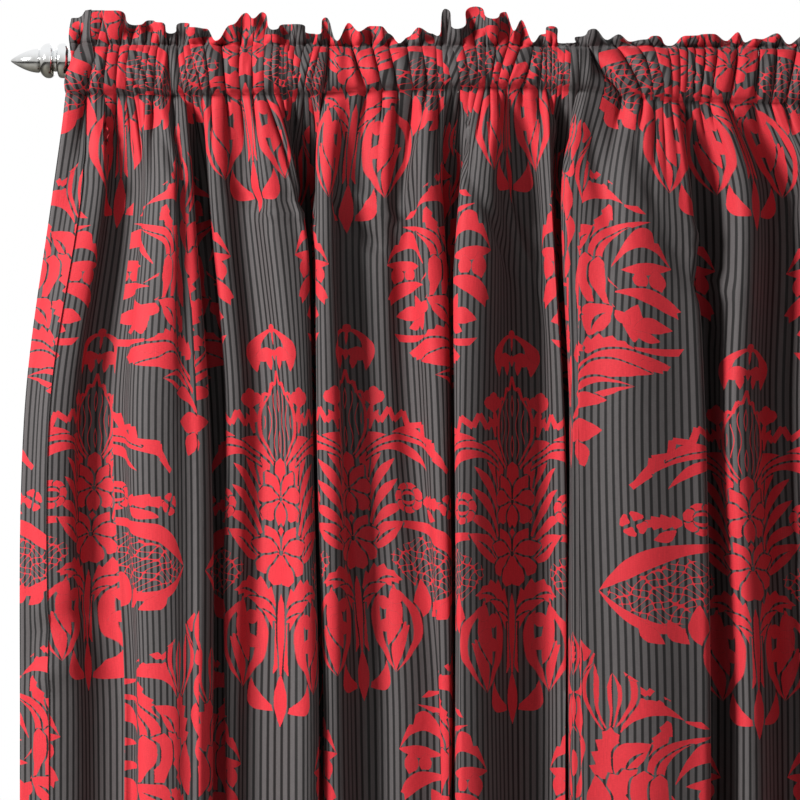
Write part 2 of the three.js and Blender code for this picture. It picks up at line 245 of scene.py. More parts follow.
SMALL_MOTIF = leaf_rows(
    # zigzag, the long leaf it ends in, and the leaf inside it
    *ribbon(3, (68, 322), (82, 347), (94, 338), (109, 357), (115, 333), (134, 348), (130, 330)),
    ("leaf", 124, 330, 184, 308, 8, 0.12, 2), ("leaf", 184, 309, 128, 308, 4, 0.12, 0),
    ("leaf", 66, 292, 132, 307, 9, 0.34), ("leaf", 90, 322, 88, 334, 5, 0, 0),
    ("leaf", 106, 320, 106, 332, 5, 0, 0), ("saw", 116, 306, 80, 262, 9, 0.14),
    # tall arching leaves
    ("blade", 118, 184, 166, 289, 8, 0.38), ("leaf", 128, 206, 140, 280, 4, 0.36),
    ("leaf", 122, 232, 190, 233, 11, 0.54), ("leaf", 190, 234, 132, 229, 7, 0, 0),
    ("leaf", 172, 232, 174, 202, 9, 0, 0), ("leaf", 152, 230, 156, 206, 8, 0, 0),
    # lobed leaf: its edge, and the leaf inside it
    ("leaf", 124, 202, 194, 160, 9, 0.2), ("leaf", 184, 180, 198, 140, 8, 0.1, 0),
    ("leaf", 200, 142, 112, 138, 4, 0.1, 0), ("leaf", 126, 142, 146, 188, 10, 0.05, 2),
    ("leaf", 130, 162, 118, 180, 7, 0, 0), ("leaf", 132, 158, 172, 158, 9, 0.12, 0),
    ("leaf", 130, 152, 154, 144, 6, 0, 0),
    # bud beside the axis, its collar and its clover
    ("leaf", 52, 290, 46, 394, 27, -0.06, 3, 0.74), ("blade", 50, 294, 40, 372, 9, 0.12, 2, 0.4),
    ("blade", 56, 294, 58, 362, 7, -0.05, 2, 0.4), ("leaf", 30, 374, 28, 402, 8, 0, 2),
    ("leaf", 60, 374, 68, 392, 5, 0, 0), *rosette(84, 368, 5, 15, 8, 120, gap=2),
    # big petals
    ("saw", 46, 236, 56, 298, 17, -0.05), ("leaf", 62, 238, 98, 280, 14, 0.14),
    ("leaf", 70, 244, 92, 270, 1.8, 0.14, 0, 1.2), ("saw", 50, 190, 84, 250, 17, 0.1),
    ("petal", 96, 182, 90, 248, 12, 0.06), ("petal", 114, 182, 106, 244, 9, 0.06),
    ("leaf", 34, 176, 40, 240, 12, -0.1),
    # leaves at the waist
    ("leaf", 78, 148, 118, 184, 14, 0.12), ("leaf", 84, 154, 108, 176, 1.6, 0.12, 0, 1.2),
    ("saw", 66, 130, 124, 134, 13, 0.08), ("saw", 42, 146, 80, 182, 14, 0.1),
    ("saw", 24, 116, 68, 134, 13, 0.1),
    # arching leaves above the foot
    ("blade", 28, 88, 150, 116, 10, 0.14), ("saw", 110, 112, 152, 114, 9, 0, 0),
    ("blade", 24, 72, 130, 104, 10, 0.17), ("leaf", 22, 56, 106, 88, 11, 0.14, 3, 0.4),
    ("blade", 18, 44, 70, 70, 8, 0.2),
    # leaves at the foot
    ("leaf", 6, 20, 58, 34, 13, 0.1), ("leaf", 22, 20, 38, -10, 11, 0.05, 2),
    # the axis, from its foot up
    ("leaf", 0, -14, 0, 50, 9, 0, 3, 0.42), ("blade", 3, 58, 16, 120, 7, 0.05),
    ("leaf", 0, 62, 0, 116, 4, 0, 2), ("saw", 4, 122, 9, 158, 8), ("bar", 0, 160, 0, 178, 13),
    ("bar", 12, 176, 16, 212, 3, 0, 2), ("bar", 0, 201, 0, 205, 14, 0, 0),
    ("leaf", 18, 246, 5, 210, 7, 0.1), ("round", 0, 236, 0, 268, 7), ("leaf", 17, 246, 0, 296, 7, -0.26),
    ("leaf", 8, 332, 15, 280, 10, 0.06), ("leaf", 0, 298, 0, 338, 5, 0, 2),
    ("leaf", 3, 336, 20, 354, 6, -0.36), ("leaf", 17, 352, 18, 402, 7),
    ("leaf", 0, 356, 0, 408, 12, 0, 3, 0.6), ("saw", 0, 370, 0, 398, 6, 0, 0),
)

# Where a motif's axis and foot fall on the flat cloth. PRINT_ROOM: whole repeats added so that no place is
# negative. MOTIF_DIP: how far a motif reaches below its foot.
Motif = namedtuple("Motif", "leaves axis foot")
PRINT_ROOM = 6
MOTIF_DIP = 30

# How far the large motif's part of the cloth reaches to the side of its axis, from its foot up.
Reach = namedtuple("Reach", "height side")
LARGE_REACH = [Reach(*row) for row in [
    (-30, 70), (0, 78), (36, 120), (90, 200), (130, 240), (286, 240), (300, 196), (380, 140), (460, 62),
    (500, 56), (506, 0), (582, 0),
]]
# Each motif is painted in two parts, below this height and above it.
PART_HEIGHT = 203.0
MOTIFS = [Motif(LARGE_MOTIF, 138.0, -790.0), Motif(SMALL_MOTIF, 378.0, -472.0)]

# How far aside the print lies from its place on the flat cloth, near the header, in the middle and low
# down, so that the motifs fall on the folds as on the real curtain. At a place given twice the print jumps,
# in a hollow that hides a small tuck, or to make up for a fold that is too long or too short.
Aside = namedtuple("Aside", "flat top mid low")
ASIDES = [Aside(*row) for row in [
    (0, 2, 2, 33), (133, 2, 2, 33), (157.5, 0, 10, 15), (157.5, 55, 65, 75), (265, -3, -3, 20),
    (329, 35, 31, 31), (329, 110, 90, 90), (458, 100, 96, 92), (735, 95, 95, 92), (735, 200, 215, 210),
    (861, 210, 218, 210), (966, 205, 226, 228), (1116.5, 218, 214, 212), (1116.5, 290, 290, 290),
    (1477, 290, 290, 290), (1477, 262, 258, 240), (1599.5, 258, 252, 238), (1599.5, 298, 240, 236),
    (1703.5, 298, 238, 234), (1771, 285, 234, 230), (1771, 205, 217, 213), (2100, 205, 217, 213),
]]
ASIDE_HEIGHTS = (-250.0, -450.0, -750.0)

# How far up the print is drawn at each column of motifs, near the header, in the middle and low down.
Lift = namedtuple("Lift", "pattern_x top mid low")
LIFT_HEIGHTS = np.array([-180.0, -320.0, -780.0])
LIFTS = [Lift(*row) for row in [
    (138, -16, 3, 42), (378, -5, 0, 30), (618, 3, 8, 0), (858, 0, 8, 0), (1098, -24, 9, 27),
    (1338, 0, 5, 10), (1578, 16, 1, 0), (1818, 0, 0, -6), (2058, -19, -16, -16), (2317, -10, -10, -10),
]]


# ------ Shape of the cloth ------
def smoothstep(value, low, high):
    t = np.clip((value - low) / (high - low), 0, 1)
    return t * t * (3 - 2 * t)


def table_line(rows, field):
    """A smooth curve along the header through one column of a short table."""
    heads = np.array([row.head for row in rows], float)
    values = np.array([getattr(row, field) for row in rows], float)

    def at(head):
        k = np.clip(np.searchsorted(heads, head) - 1, 0, len(heads) - 2)
        t = smoothstep(head, heads[k], heads[k + 1])
        return values[k] + (values[k + 1] - values[k]) * t

    return at


upper_stitch = table_line(STITCH_LINES, "upper")
lower_stitch = table_line(STITCH_LINES, "lower")


def along_drop(places, z):
    """The cubic through one fold's places at the fold heights, as in the part's source."""
    last = len(FOLD_HEIGHTS) - 1
    k = np.clip(np.searchsorted(-FOLD_HEIGHTS, -z, side="right") - 1, 0, last - 1)
    run = FOLD_HEIGHTS[k + 1] - FOLD_HEIGHTS[k]
    t = (z - FOLD_HEIGHTS[k]) / run
    before, after = np.maximum(k - 1, 0), np.minimum(k + 2, last)
    start_slope = (places[k + 1] - places[before]) / (FOLD_HEIGHTS[k + 1] - FOLD_HEIGHTS[before])
    end_slope = (places[after] - places[k]) / (FOLD_HEIGHTS[after] - FOLD_HEIGHTS[k])
    along = places[k] + (places[k + 1] - places[k]) * t * t * (3 - 2 * t)
    return along + run * t * (1 - t) * ((1 - t) * start_slope - t * end_slope)


# The gathers: the cloth in each, how far they stand out and sway aside, and the small ripples on them.
GATHER_CLOTH = 33.0
GATHER_DEPTH = 8.2
GATHER_SWAY = 3.6
RIPPLE_DEPTH = 1.5
RIPPLES = 2.4
# How fast the gathers die away under the header, and the pleats that they run into.
GATHER_FADE = 42.0
PLEAT_START, PLEAT_FADE = 26.0, 120.0
PLEAT_DEPTH = 6.5
PLEAT_GATHERS = 2.3
STITCH_DRAW = 2.6
STITCH_REACH = 3.4


def gather_count(flat):
    """How many gathers lie left of a place on the flat cloth: they are 18 to 48 mm of cloth each."""
    grid = np.arange(0, CLOTH_WIDTH + 1)
    width = GATHER_CLOTH * (1 + 0.26 * np.sin(grid / 61 + 0.7) + 0.2 * np.sin(grid / 23 + 2))
    return np.interp(flat, grid, np.cumsum(1 / width))


def gathers(flat, down_band):
    """Sideways and forward shift of the gathers, rounded in front and creased behind."""
    lean = 0.8 * np.sin(flat / 97 + 0.4) + 0.5 * np.sin(flat / 41 + 2)
    count = gather_count(flat) + lean * np.clip(down_band, -0.4, 1.3)
    size = 1 + 0.26 * np.sin(flat / 83 + 1) + 0.2 * np.sin(flat / 29)
    forward = GATHER_DEPTH * size * (2 * np.abs(np.cos(math.pi * count)) ** 0.62 - 1)
    ripple = np.sin(2 * math.pi * RIPPLES * count + 4 * down_band) * np.sin(flat / 37)
    forward = forward + RIPPLE_DEPTH * ripple
    sideways = GATHER_SWAY * size * np.sin(2 * math.pi * count)
    return sideways, forward


def header_shift(z, stitch):
    """How far the cloth is drawn back beside a line of stitching."""
    return STITCH_DRAW * np.exp(-(((z - stitch) / STITCH_REACH) ** 2))


def body(flat, z, below):
    """The hanging cloth at each flat place and height. below is its height over the stitching."""
    k = np.clip(np.searchsorted(FLAT, flat, side="right") - 1, 0, len(FOLDS) - 2)
    t = (flat - FLAT[k]) / (FLAT[k + 1] - FLAT[k])
    places = np.stack([along_drop(FOLD_PLACES[i], z[:, 0]) for i in range(len(FOLDS))], axis=1)
    grown = 1 - np.exp(below / FOLD_GROWTH)
    lower = smoothstep(-z, -FOLD_HEIGHTS[2], -FOLD_HEIGHTS[3])
    start = places[:, k]
    run = places[:, k + 1] - start
    spare = np.maximum(0, FLAT[k + 1] - FLAT[k] - run)
    bulge = np.minimum(spare / (2 * math.pi), 0.7 * run - 2) * grown
    x = start + run * t + bulge * np.sin(2 * math.pi * t)
    fronts = FOLD_FRONTS[:, 0] * (1 - lower[:, :1]) + FOLD_FRONTS[:, 1] * lower[:, :1]
    swing = (1 - np.cos(math.pi * t)) / 2
    stands = (fronts[:, k] * (1 - swing) + fronts[:, k + 1] * swing) * grown
    sideways, forward = gathers(flat[None, :], np.ones_like(z))
    fade = np.exp(below / GATHER_FADE)
    count = gather_count(flat)[None, :]
    pleat_share = (1 - np.exp(below / PLEAT_START)) * np.exp(below / PLEAT_FADE)
    turn = 2 * math.pi * (count / PLEAT_GATHERS + 0.15 * np.sin(flat / 120))
    pleat = PLEAT_DEPTH * pleat_share * np.cos(turn)
    y = HANGING_PLANE - stands - forward * fade - pleat
    return x + sideways * fade, y + header_shift(below, 0)


# How much further the frill leans out than its rows say.
FRILL_LEAN = 1.35


def frill_edge(flat):
    """The top edge of the frill: along the header, height and forward lean."""
    heads, tops, outs = np.array(FRILL, float).T
    outs = outs * FRILL_LEAN
    flats = np.interp(heads, HEAD, FLAT)
    k = np.clip(np.searchsorted(flats, flat, side="right") - 1, 0, len(flats) - 2)
    t = np.clip((flat - flats[k]) / (flats[k + 1] - flats[k]), 0, 1)
    swing = (1 - np.cos(math.pi * t)) / 2
    run = heads[k + 1] - heads[k]
    chord = np.hypot(run, outs[k + 1] - outs[k])
    bulge = np.clip((flats[k + 1] - flats[k] - chord) / (2 * math.pi), 0, 0.32 * run)
    x = heads[k] + run * t + bulge * np.sin(2 * math.pi * t)
    x += np.minimum(flat - flats[0], 0) * 0.5 + np.maximum(flat - flats[-1], 0) * 0.5
    return x, tops[k] + (tops[k + 1] - tops[k]) * swing, outs[k] + (outs[k + 1] - outs[k]) * swing


BAND_ROWS = 22
FRILL_FRONT = [0.0, 0.06, 0.14, 0.24, 0.35, 0.46, 0.57, 0.68, 0.78, 0.87, 0.94, 0.98]
FRILL_BACK = [0.98, 0.92, 0.8, 0.65, 0.5, 0.35, 0.2, 0.08, -0.1]
FRILL_HALF_GAP = 1.5
# Cloth for each millimetre of height, in the band and in the frill.
BAND_SLACK = 1.25
FRILL_SLACK = 1.1


def base_grid(flat):
    """Rows of points from the frill's hidden end over its top to the hem, with their flat heights."""
    head = np.interp(flat, FLAT, HEAD)
    upper, lower = upper_stitch(head), lower_stitch(head)
    rows, lengths = [], []

    def add(x, y, z, along):
        rows.append(np.stack([x + ORIGIN_TO_LEFT, y, z], axis=-1))
        lengths.append(along + 0 * x)

    band_length = BAND_SLACK * (upper - lower)
    edge_x, edge_z, edge_out = frill_edge(flat)

    def frill(share, layer):
        sideways, forward = gathers(flat, -0.3 * share)
        ease = np.clip(share, 0, 1) ** 0.85
        x = (head + sideways) * (1 - ease) + edge_x * ease
        puff = 1 + 1.2 * math.sin(math.pi * min(max(share, 0), 1))
        y = -2 - forward * (1 - ease) - edge_out * ease - layer * FRILL_HALF_GAP * puff
        z = upper + (edge_z - FRILL_HALF_GAP - upper) * share
        return x, y + header_shift(z, upper) * (layer > 0), z

    foot = lower + band_length
    rise = FRILL_SLACK * (edge_z - upper)
    for share in FRILL_BACK[::-1]:
        add(*frill(share, -1), foot + rise * (2 - share))
    for turn in (45, 90, 135):
        a = math.radians(turn)
        x, y, z = frill(1.0, 0)
        add(x, y + FRILL_HALF_GAP * math.cos(a), z + FRILL_HALF_GAP * math.sin(a), foot + rise)
    for share in FRILL_FRONT[::-1]:
        add(*frill(share, 1), foot + rise * share)
    for i in range(1, BAND_ROWS):
        w = i / BAND_ROWS
        z = upper + (lower - upper) * w
        sideways, forward = gathers(flat, w)
        middle = math.sin(math.pi * w)
        y = -2 * (1 - w) + HANGING_PLANE * w - FRONT_OF_POLE * middle ** 0.4
        y = y - forward * (0.86 + 0.2 * middle) + header_shift(z, upper) + header_shift(z, lower)
        add(head + sideways, y, z, lower + band_length * (1 - w))
    heights = np.concatenate([
        np.arange(LOWER_STITCH, -241, -8), np.arange(-249, -890, -14), np.linspace(-903, HEM + 1, 40),
    ])
    share = smoothstep(-heights, -LOWER_STITCH, 170)
    z = heights[:, None] + (lower - LOWER_STITCH)[None, :] * (1 - share[:, None])
    x, y = body(flat, heights[:, None] + 0 * z, z - lower[None, :])
    for i in range(len(heights)):
        add(x[i], y[i], z[i], z[i])
    return np.array(rows), np.array(lengths)


def grid_normals(points):
    across = np.gradient(points, axis=1)
    down = np.gradient(points, axis=0)
    normal = np.cross(across, down)
    return normal / np.linalg.norm(normal, axis=-1, keepdims=True)


def creased(points, flat):
    """Moves the cloth out or in along each crease, and makes all of it slightly uneven."""
    z = points[..., 2]
    s = flat[None, :] + 0 * z
    depth = np.zeros_like(z)
    for crease in CREASES:
        run = np.array([crease.flat_b - crease.flat_a, crease.z_b - crease.z_a], float)
        length = np.hypot(*run)
        along = ((s - crease.flat_a) * run[0] + (z - crease.z_a) * run[1]) / length ** 2
        off = ((s - crease.flat_a) * -run[1] + (z - crease.z_a) * run[0]) / length
        ends = smoothstep(along, -0.15, 0.3) * (1 - smoothstep(along, 0.7, 1.15))
        depth += crease.depth * np.exp(-((off / crease.width) ** 2)) * ends
    hanging = smoothstep(-z, 60, 200)
    wander = np.sin(s / 57 + z / 210 + 1.3) + np.sin(s / 31 - z / 160 + 0.4) + np.sin(s / 83 + z / 95)
    depth += 0.9 * hanging * wander
    fine = np.sin(s / 9.5 + 2 * np.sin(z / 44)) * np.sin(z / 23 + np.sin(s / 37))
    depth += 0.35 * fine * np.exp((z + 40) / 260) * hanging
    return points + grid_normals(points) * depth[..., None]


def hemmed(points, lengths, flat):
    """Turns the bottom and the sides of the cloth over onto its front, with a rounded edge."""
    normal = grid_normals(points)
    turn_up = [1, 3, 12, 40, BOTTOM_HEM]
    z = points[:, :, 2]
    rows, row_lengths, normals = [], [], []
    for up in turn_up:
        height = HEM + up
        i = int(np.argmin(np.abs(z[:, 0] - height)))
        i = min(i, len(points) - 2)
        share = (height - z[i, 0]) / (z[i + 1, 0] - z[i, 0])
        point = points[i] + (points[i + 1] - points[i]) * share
        raised = HEM_GAP * (1 - math.exp(-up / HEM_ROUND))
        rows.append(point - normal[i] * raised)
        row_lengths.append(np.full(len(flat), HEM - up))
        normals.append(normal[i])
    points = np.concatenate([points, np.array(rows)])
    lengths = np.concatenate([lengths, np.array(row_lengths)])
    normal = np.concatenate([normal, np.array(normals)])
    gap = np.where(z[:, :1] > FRILL_FOOT, FRILL_HEM_GAP, HEM_GAP)
    gap = np.concatenate([gap, np.full((len(turn_up), 1), HEM_GAP)])
    inward = [1, 3, 8, 16, 26, 34, SIDE_HEM]
    steps = [max(1, round(distance / COLUMN_STEP)) for distance in inward]
    left, right = [], []
    for distance, step in zip(inward, steps):
        raised = gap * (1 - math.exp(-distance / HEM_ROUND))
        share = min(1.0, distance / (step * COLUMN_STEP))
        for side, edge, inner in ((left, 0, step), (right, -1, -1 - step)):
            point = points[:, edge] + (points[:, inner] - points[:, edge]) * share
            side.append(point - normal[:, inner] * raised)
    left, right = np.array(left[::-1]).swapaxes(0, 1), np.array(right).swapaxes(0, 1)
    points = np.concatenate([left, points, right], axis=1)
    columns = np.concatenate([-np.array(inward[::-1]), flat, CLOTH_WIDTH + np.array(inward)])
    pad = len(inward)
    lengths = np.pad(lengths, ((0, 0), (pad, pad)), mode="edge")
    return points, lengths, columns


def print_table(rows, places, z, heights):
    """The table's values at each place, blended from top to middle to low by height."""
    lines = np.array([row[0] for row in rows], float)
    top, mid, low = (np.interp(places, lines, [row[i] for row in rows]) for i in (1, 2, 3))
    first = smoothstep(-z, -heights[0], -heights[1])
    second = smoothstep(-z, -heights[1], -heights[2])
    return top * (1 - first) + mid * first * (1 - second) + low * second


def cell_corners(grid):
    """The four corner values of each cell, in the order of the quads' loops."""
    return np.stack([grid[:-1, :-1], grid[1:, :-1], grid[1:, 1:], grid[:-1, 1:]], axis=2)


def new_mesh(name, vertices, faces):
    mesh = bpy.data.meshes.new(name)
    mesh.from_pydata(vertices, [], faces)
    return mesh


def placed(name, data):
    """A new object, put in the scene."""
    thing = bpy.data.objects.new(name, data)
    bpy.context.scene.collection.objects.link(thing)
    return thing


def grid_mesh(name, points, loop_uvs):
    """A mesh of one quad for each cell of the grid, with its UV maps."""
    down, across = points.shape[:2]
    index = np.arange(down * across).reshape(down, across)
    quads = cell_corners(index).reshape(-1, 4)
    mesh = new_mesh(name, (points.reshape(-1, 3) * MM).tolist(), quads.tolist())
    for uv_name, uv in loop_uvs.items():
        layer = mesh.uv_layers.new(name=uv_name)
        layer.data.foreach_set("uv", uv.reshape(-1).astype(np.float32))
    mesh.polygons.foreach_set("use_smooth", np.ones(len(quads), bool))
    mesh.update()
    return placed(name, mesh)


def to_square(values):
    """Values brought to between 0.01 and 0.99, to fill a map's square."""
    return 0.01 + 0.98 * (values - values.min()) / np.ptp(values)


# Beside a jump of the print, each cell takes the values on its own side.
EDGE_NUDGE = 0.02


def make_curtain():
    flat = np.arange(0, CLOTH_WIDTH + COLUMN_STEP / 2, COLUMN_STEP)
    points, lengths = base_grid(flat)
    points = creased(points, flat)
    points, lengths, columns = hemmed(points, lengths, flat)
    across = np.broadcast_to(columns, lengths.shape)
    corner_across, corner_along = cell_corners(across), cell_corners(lengths)
    inward = EDGE_NUDGE * np.sign(corner_across.mean(axis=2, keepdims=True) - corner_across)
    pattern_x = corner_across + print_table(ASIDES, corner_across + inward, corner_along, ASIDE_HEIGHTS)
    pattern_y = corner_along - print_table(LIFTS, pattern_x, corner_along, LIFT_HEIGHTS)
    print_map = np.stack([pattern_x, pattern_y], axis=-1) * MM
    flat_map = np.stack([corner_across, corner_along], axis=-1) * MM
    bake_map = np.stack([to_square(corner_across), to_square(corner_along)], axis=-1)
    return grid_mesh("curtain_cloth", points, {"Flat": flat_map, "Print": print_map, "OFBake": bake_map})


# ------ Heading tape ------
TAPE_TOP, TAPE_FOOT = 17.0, -38.5
TAPE_BEHIND_POLE = 21.5
TAPE_BACK = (3.4, 2.2)
TAPE_THICKNESS = 1.2
# The two draw cords woven into the tape lift it a little.
CORD_HEIGHTS = (9, -26)
CORD_RAISE = 1.3
CORD_REACH = 1.8
# On its map, the side that faces the wall lies this far above the side that faces the room.
WALL_SIDE, WALL_SIDE_END = 80, 200


def make_tape():
    flat = np.arange(0, CLOTH_WIDTH + 2, 4.0)
    head = np.interp(flat, FLAT, HEAD)
    heights = np.linspace(TAPE_TOP, TAPE_FOOT, 19)
    rows = []
    for i, z in enumerate(heights):
        w = i / (len(heights) - 1)
        sideways, forward = gathers(flat, w)
        middle = math.sin(math.pi * w)
        x = head + 0.7 * sideways + ORIGIN_TO_LEFT
        y = TAPE_BACK[0] * (1 - w) + TAPE_BACK[1] * w + TAPE_BEHIND_POLE * middle ** 0.5
        y = y - forward * (0.95 - 0.25 * middle)
        y = y + RIPPLE_DEPTH * np.sin(2 * math.pi * RIPPLES * gather_count(flat) + 3 * w)
        y = y + CORD_RAISE * sum(math.exp(-((z - height) / CORD_REACH) ** 2) for height in CORD_HEIGHTS)
        rows.append(np.stack([x, y, np.full_like(y, z)], axis=-1))
    rows = np.array(rows)
    normal = grid_normals(rows)
    room, wall = rows - normal * TAPE_THICKNESS / 2, rows + normal * TAPE_THICKNESS / 2
    loop = np.concatenate([room, wall[::-1], room[:1]])
    v = np.concatenate([heights, heights[::-1] + WALL_SIDE, [WALL_SIDE_END]])
    corner_u = cell_corners(np.broadcast_to(flat, loop.shape[:2]))
    corner_v = cell_corners(np.broadcast_to(v[:, None], loop.shape[:2]))
    piece = grid_mesh("heading_tape_cloth", loop, {"Flat": np.stack([corner_u, corner_v], axis=-1) * MM})
    weld_and_close(piece)
    return piece


def weld_and_close(piece):
    mesh = bmesh.new()
    mesh.from_mesh(piece.data)
    bmesh.ops.remove_doubles(mesh, verts=mesh.verts, dist=1e-6)
    bmesh.ops.holes_fill(mesh, edges=mesh.edges, sides=0)
    bmesh.ops.recalc_face_normals(mesh, faces=mesh.faces)
    mesh.to_mesh(piece.data)
    mesh.free()


# ------ Finials ------
FINIAL_START = 473.3
FINIAL_OUTLINE = [
    (0, 0), (0, 18.5), (1, 19.9), (2.4, 20.6), (6.5, 21), (10, 20.6), (11.6, 19.8), (12.6, 18.2),
    (13, 16.6), (13.3, 13.4), (13.8, 13), (16.8, 13), (17.3, 13.3), (17.6, 16.6), (18.4, 18.6), (20, 20),
    (22, 20.8), (24, 21), (26, 20.8), (28, 20.2), (30, 19), (32, 17.2), (33.4, 15.2), (34.4, 13.6),
    (34.9, 13.5), (35.3, 14.1), (36.2, 14.4), (39, 14.3), (42, 13.9), (46, 13), (50, 11.7), (54, 10.1),
    (58, 8.2), (61.5, 6.3), (65, 4.2), (67.5, 2.5), (69.2, 1.2), (70, 0),
]
FINIAL_SIDES = 96


def make_finial(name, side):
    """The outline turned about the pole's axis: side is -1 for the left end and 1 for the right."""
    out, radius = np.array(FINIAL_OUTLINE, float).T[:, :, None]
    angles = np.linspace(0, 2 * math.pi, FINIAL_SIDES + 1)
    x = side * (FINIAL_START + out) + 0 * angles
    piece = grid_mesh(name, np.stack([x, radius * np.cos(angles), radius * np.sin(angles)], axis=-1), {})
    weld_and_close(piece)
    piece.data.set_sharp_from_angle(angle=math.radians(50))
    return piece


# ------ Materials ------
class Tree:
    """Short calls for adding nodes to a node tree. An input is a socket or a plain value."""

    def __init__(self, tree):
        self.tree = tree

    def node(self, kind, **settings):
        node = self.tree.nodes.new(kind)
        for key, value in settings.items():
            setattr(node, key, value)
        return node

    def feed(self, socket, value):
        if isinstance(value, bpy.types.NodeSocket):
            self.tree.links.new(value, socket)
        elif value is not None:
            socket.default_value = value

    def feed_all(self, node, **inputs):
        """Feeds the inputs by name, with a low line for each space."""
        for name, value in inputs.items():
            self.feed(node.inputs[name.replace("_", " ")], value)

    def feed_in_order(self, node, *values):
        for socket, value in zip(node.inputs, values):
            self.feed(socket, value)
        return node.outputs[0]

    def math(self, operation, *values):
        return self.feed_in_order(self.node("ShaderNodeMath", operation=operation), *values)

    def times(self, a, b):
        return self.math("MULTIPLY", a, b)

    def times_plus(self, a, b, c):
        return self.math("MULTIPLY_ADD", a, b, c)

    def dot(self, a, b):
        node = self.node("ShaderNodeVectorMath", operation="DOT_PRODUCT")
        self.feed_in_order(node, a, b)
        return node.outputs["Value"]

    def vector(self, x, y, z):
        return self.feed_in_order(self.node("ShaderNodeCombineXYZ"), x, y, z)

    def mix(self, factor, a, b):
        node = self.node("ShaderNodeMix", data_type="RGBA")
        self.feed(node.inputs[0], factor)
        self.feed(node.inputs[6], a)
        self.feed(node.inputs[7], b)
        return node.outputs[2]

    def noise(self, vector, scale, detail=2.0, roughness=0.5):
        node = self.node("ShaderNodeTexNoise")
        self.feed_all(node, Vector=vector, Scale=scale, Detail=detail, Roughness=roughness)
        return node.outputs[0]

    def ramp(self, value, low, high):
        """0 below low, 1 above high, and smooth between."""
        node = self.node("ShaderNodeMapRange", interpolation_type="SMOOTHSTEP")
        self.feed_all(node, Value=value, From_Min=low, From_Max=high)
        return node.outputs["Result"]

    def wave(self, value, pitch):
        """A triangle wave between 0 and 1 of the given pitch."""
        return self.times(self.math("PINGPONG", value, pitch / 2), 2 / pitch)

    def either(self, choice, shader_a, shader_b):
        """The first shader where choice is 0, the second where it is 1."""
        return self.feed_in_order(self.node("ShaderNodeMixShader"), choice, shader_a, shader_b)

    def scaled(self, vector, factors):
        return self.feed_in_order(self.node("ShaderNodeVectorMath", operation="MULTIPLY"), vector, factors)

    def place(self, uv_map):
        """A place on the cloth in millimetres: as a vector, and its distances across and along."""
        vector = self.scaled(self.node("ShaderNodeUVMap", uv_map=uv_map).outputs[0], (1000, 1000, 1000))
        split = self.node("ShaderNodeSeparateXYZ")
        self.feed(split.inputs[0], vector)
        return vector, split.outputs[0], split.outputs[1]

    def bump(self, strength, height):
        node = self.node("ShaderNodeBump")
        self.feed_all(node, Strength=strength, Distance=1.0, Height=height)
        return node.outputs[0]


def leaf_group(kind):
    """A node group that paints one leaf over a figure, which is positive on the red."""
    group = bpy.data.node_groups.new("paint_" + kind, "ShaderNodeTree")
    for name in ("Figure", "Point", "Along", "Across", "Bow", "Hollow", "Gap", "Texture"):
        form = "Vector" if name in ("Point", "Along", "Across") else "Float"
        group.interface.new_socket(name, in_out="INPUT", socket_type="NodeSocket" + form)
    group.interface.new_socket("Figure", in_out="OUTPUT", socket_type="NodeSocketFloat")
    tree = Tree(group)
    given = tree.node("NodeGroupInput").outputs
    along = tree.dot(given["Point"], given["Along"])
    across = tree.dot(given["Point"], given["Across"])
    arch = tree.math("SUBTRACT", along, tree.times(along, along))
    off = tree.math("ABSOLUTE", tree.times_plus(arch, given["Bow"], across))
    outline = tree.node("ShaderNodeFloatCurve")
    draw_outline(outline.mapping, kind.replace("_hollow", ""))
    tree.feed(outline.inputs["Value"], along)
    half_width = outline.outputs[0]
    inside = tree.math("SUBTRACT", half_width, off)
    figure = tree.math("MINIMUM", given["Figure"], tree.times_plus(inside, -1.0, given["Gap"]))
    line = inside
    if kind.endswith("_hollow"):
        open_part = tree.math("SUBTRACT", off, tree.times(half_width, given["Hollow"]))
        line = tree.math("MINIMUM", inside, open_part)
    if kind in SCRIBBLED:
        line = tree.math("MINIMUM", inside, given["Texture"])
    result = tree.node("NodeGroupOutput")
    tree.feed(result.inputs[0], tree.math("MAXIMUM", figure, line))
    return group


PAST_BASE, PAST_TIP = (-0.04, -3.0), (1.04, -3.0)


def draw_curve(mapping, points, straight):
    """Sets a curve through the points, with corners at its ends, or at all of them."""
    mapping.use_clip = False
    curve = mapping.curves[0]
    curve.points[0].location, curve.points[1].location = points[0], points[-1]
    for point in points[1:-1]:
        curve.points.new(*point)
    for point in curve.points:
        end = point.location.x <= 0.001 or point.location.x >= 0.999
        point.handle_type = "VECTOR" if end or straight else "AUTO_CLAMPED"
    mapping.update()


def draw_outline(mapping, kind):
    """Sets the curve through the outline's points, and well below nothing past both ends."""
    mapping.clip_min_x, mapping.clip_max_x = -0.1, 1.1
    mapping.clip_min_y, mapping.clip_max_y = -4, 2
    outline = LEAF_OUTLINES["leaf" if kind in SCRIBBLED else kind]
    draw_curve(mapping, [PAST_BASE, *outline, PAST_TIP], kind in TOOTHED)


